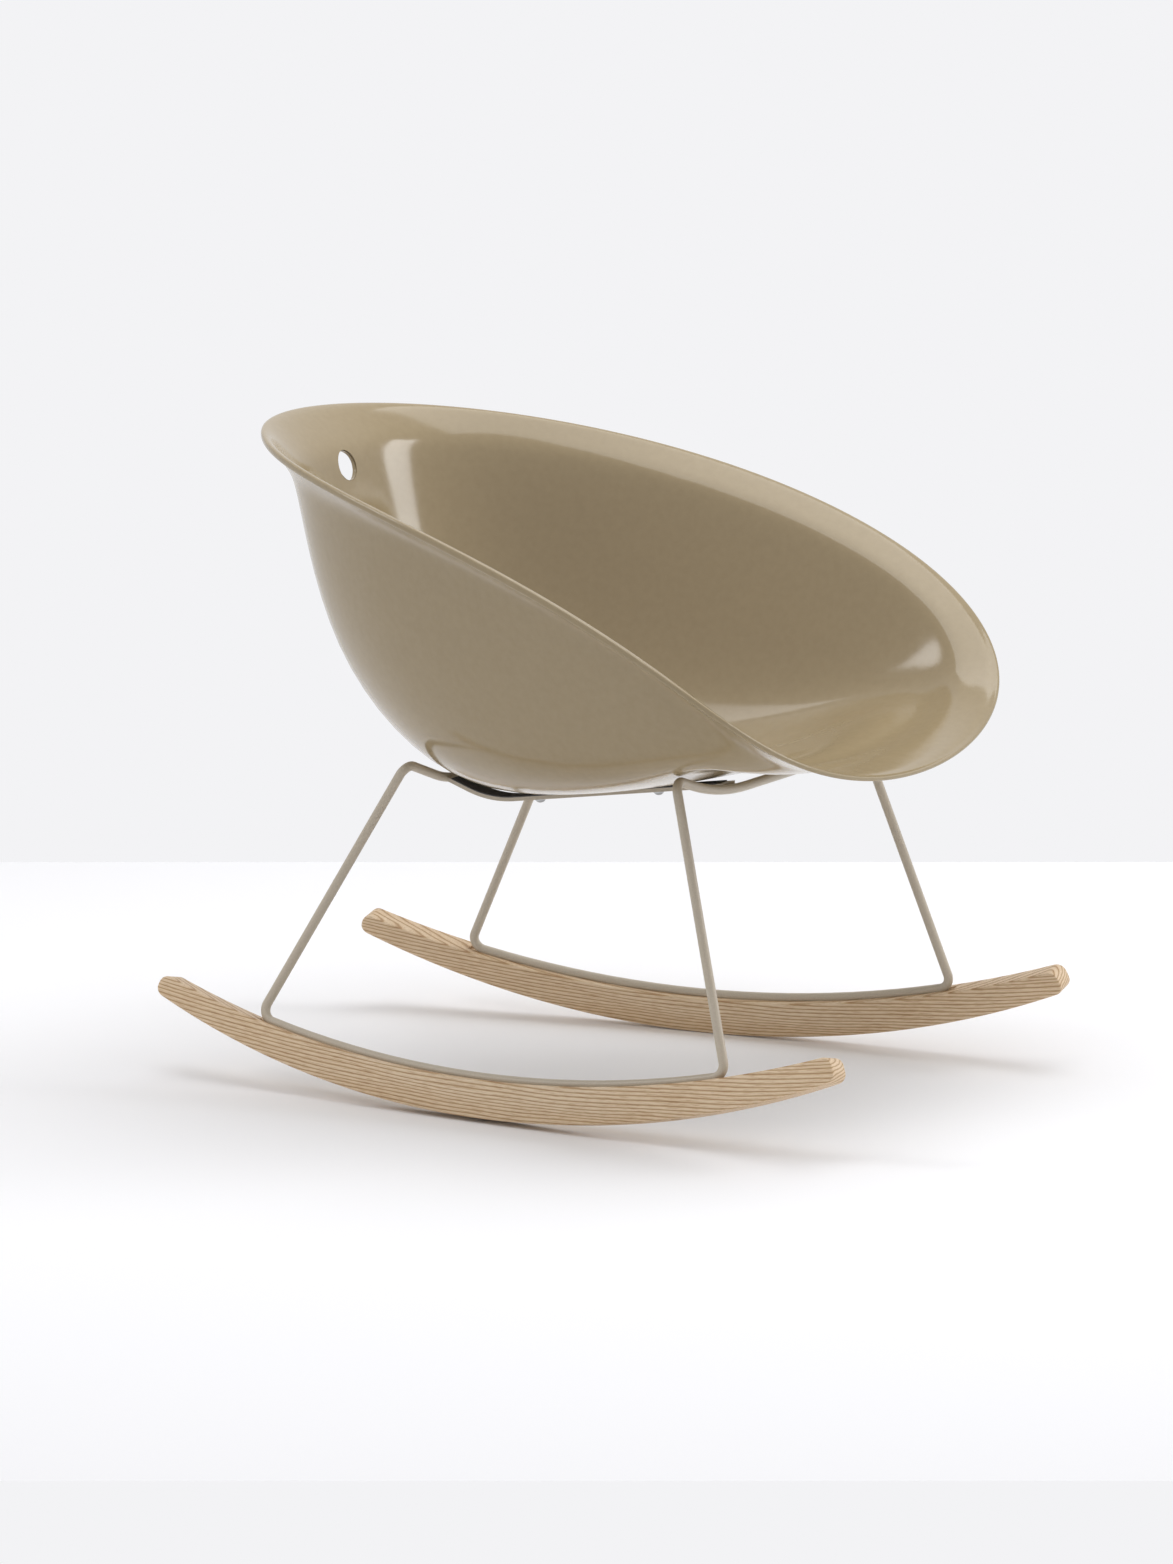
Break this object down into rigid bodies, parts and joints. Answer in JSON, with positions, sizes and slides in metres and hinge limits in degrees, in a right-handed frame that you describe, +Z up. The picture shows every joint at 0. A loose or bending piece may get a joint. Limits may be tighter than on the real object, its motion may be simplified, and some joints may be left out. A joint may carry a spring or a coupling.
{
  "type": "rocking chair",
  "caption": "Moulded plastic tub rocking chair: one-piece shell with a turned lip and a hand hole, on bent steel rod frames and solid ash runners.",
  "frame": {"origin": "on the floor, midway between the places where the two runners touch it at rest", "axes": "+X to the sitter's left, +Y to the rear (the chair faces -Y), +Z up"},
  "size_m": [0.6752, 0.8467, 0.6965],
  "materials": {
    "shell_plastic": "gloss",
    "powder_coat": "satin",
    "black_pad": "matte",
    "ash_wood": "satin",
    "brass_insert": "satin",
    "zinc_plated_steel": "satin"
  },
  "bodies": {
    "root": {"frame_rod_left": "powder_coat", "frame_rod_right": "powder_coat", "rail_pad_left": "black_pad", "rail_pad_right": "black_pad", "runner_left": "ash_wood", "runner_right": "ash_wood", "runner_screw_front_left": "zinc_plated_steel", "runner_screw_front_right": "zinc_plated_steel", "runner_screw_middle_left": "zinc_plated_steel", "runner_screw_middle_right": "zinc_plated_steel", "runner_screw_rear_left": "zinc_plated_steel", "runner_screw_rear_right": "zinc_plated_steel", "runner_washer_front_left": "zinc_plated_steel", "runner_washer_front_right": "zinc_plated_steel", "runner_washer_middle_left": "zinc_plated_steel", "runner_washer_middle_right": "zinc_plated_steel", "runner_washer_rear_left": "zinc_plated_steel", "runner_washer_rear_right": "zinc_plated_steel", "seat_rail_left": "powder_coat", "seat_rail_right": "powder_coat", "shell_insert_front_left": "brass_insert", "shell_insert_front_right": "brass_insert", "shell_insert_rear_left": "brass_insert", "shell_insert_rear_right": "brass_insert", "shell_screw_front_left": "zinc_plated_steel", "shell_screw_front_right": "zinc_plated_steel", "shell_screw_rear_left": "zinc_plated_steel", "shell_screw_rear_right": "zinc_plated_steel", "shell_washer_front_left": "zinc_plated_steel", "shell_washer_front_right": "zinc_plated_steel", "shell_washer_rear_left": "zinc_plated_steel", "shell_washer_rear_right": "zinc_plated_steel", "tub_shell": "shell_plastic"}
  },
  "joints": []
}
